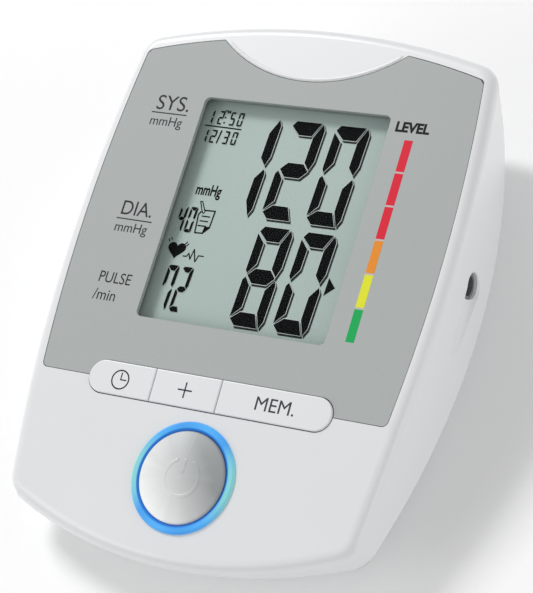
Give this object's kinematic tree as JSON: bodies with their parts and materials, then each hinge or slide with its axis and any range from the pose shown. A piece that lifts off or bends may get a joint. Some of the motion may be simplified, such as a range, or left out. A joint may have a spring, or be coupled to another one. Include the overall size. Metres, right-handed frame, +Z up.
{
  "type": "upper arm blood pressure monitor",
  "caption": "Desktop upper arm blood pressure monitor: wedge case with a grey panel, large display, key bar, round lit start button and a side socket for the cuff hose.",
  "frame": {"origin": "on the table under the middle of the case", "axes": "+Z up, +Y towards the raised back edge of the display face, +X towards the air socket"},
  "size_m": [0.1102, 0.141, 0.0452],
  "materials": {
    "case_white": "glossy moulded white plastic with a very fine spark texture",
    "panel_grey": "satin silver-grey printed front panel",
    "clear_lens": "clear acrylic window",
    "lcd_glass": "grey-green reflective liquid crystal display",
    "frame_plastic": "plain natural nylon",
    "soft_rubber": "soft moulded rubber",
    "key_white": "glossy white key tops",
    "start_silver": "silver lacquered button, finely brushed",
    "light_ring": "light guide lit blue from below",
    "circuit_board": "green solder mask",
    "black_plastic": "black moulded plastic",
    "lamp_lens": "small lamp bodies",
    "screw_steel": "zinc plated steel",
    "battery_jacket": "plain printed battery jacket",
    "spring_steel": "nickel plated spring steel",
    "motor_steel": "zinc plated motor can",
    "magnet": "sintered magnet",
    "socket_plastic": "grey socket moulding",
    "tube_rubber": "translucent soft air tube",
    "wire": "insulated thin wire",
    "foot_rubber": "grey rubber foot"
  },
  "bodies": {
    "case": {"air_socket": "socket_plastic", "air_tee": "frame_plastic", "battery_1": "battery_jacket", "battery_2": "battery_jacket", "battery_3": "battery_jacket", "battery_4": "battery_jacket", "battery_leads": "wire", "battery_springs": "spring_steel", "board_connector": "frame_plastic", "board_screws": "screw_steel", "buzzer": "black_plastic", "case_screws": "screw_steel", "clock_switch": "black_plastic", "contact_plates": "spring_steel", "controller_chip": "black_plastic", "display_panel": "panel_grey", "display_window": "clear_lens", "key_board": "circuit_board", "key_board_screws": "screw_steel", "lcd_frame": "frame_plastic", "lcd_glass": "lcd_glass", "light_ring": "light_ring", "lower_case": "case_white", "lower_contact_strip": "soft_rubber", "main_board": "circuit_board", "memory_switch": "black_plastic", "motor_can": "motor_steel", "motor_leads": "wire", "motor_magnets": "magnet", "plus_switch": "black_plastic", "pressure_sensor": "frame_plastic", "pump_cover": "black_plastic", "pump_cushion": "soft_rubber", "pump_diaphragm": "soft_rubber", "pump_head": "black_plastic", "pump_tube": "tube_rubber", "ring_lamps": "lamp_lens", "rubber_feet": "foot_rubber", "sensor_tube": "tube_rubber", "socket_tube": "tube_rubber", "start_switch": "black_plastic", "upper_case": "case_white", "upper_contact_strip": "soft_rubber", "valve_body": "motor_steel", "valve_tube": "tube_rubber"},
    "clock_key": {"clock_button": "key_white", "clock_plunger": "frame_plastic"},
    "plus_key": {"plus_button": "key_white", "plus_plunger": "frame_plastic"},
    "memory_key": {"memory_button": "key_white", "memory_plunger": "frame_plastic"},
    "start_key": {"start_button": "start_silver", "start_plunger": "frame_plastic"},
    "door": {"battery_door": "case_white"},
    "rotor": {"motor_rotor": "motor_steel", "pump_crank": "frame_plastic"},
    "valve_rod": {"valve_plunger": "screw_steel"}
  },
  "joints": [
    {"name": "clock_press", "type": "slide", "parent": "case", "child": "clock_key", "axis": [0, 0.2588, -0.9659], "range_m": [0, 0.0005], "stiffness_N_per_m": 3000},
    {"name": "plus_press", "type": "slide", "parent": "case", "child": "plus_key", "axis": [0, 0.2588, -0.9659], "range_m": [0, 0.0005], "stiffness_N_per_m": 3000},
    {"name": "memory_press", "type": "slide", "parent": "case", "child": "memory_key", "axis": [0, 0.2588, -0.9659], "range_m": [0, 0.0005], "stiffness_N_per_m": 3000},
    {"name": "start_press", "type": "slide", "parent": "case", "child": "start_key", "axis": [0, 0.2588, -0.9659], "range_m": [0, 0.0005], "stiffness_N_per_m": 3000},
    {"name": "door_hinge", "type": "hinge", "parent": "case", "child": "door", "pos_m": [0, -0.0108, 0.0025], "axis": [-1, 0, 0], "range_deg": [0, 80]},
    {"name": "motor_spin", "type": "hinge", "parent": "case", "child": "rotor", "pos_m": [0, 0.0551, 0.0142], "axis": [1, 0, 0], "continuous": true},
    {"name": "valve_travel", "type": "slide", "parent": "case", "child": "valve_rod", "axis": [0, 1, 0], "range_m": [0, 0.0008], "stiffness_N_per_m": 400}
  ]
}
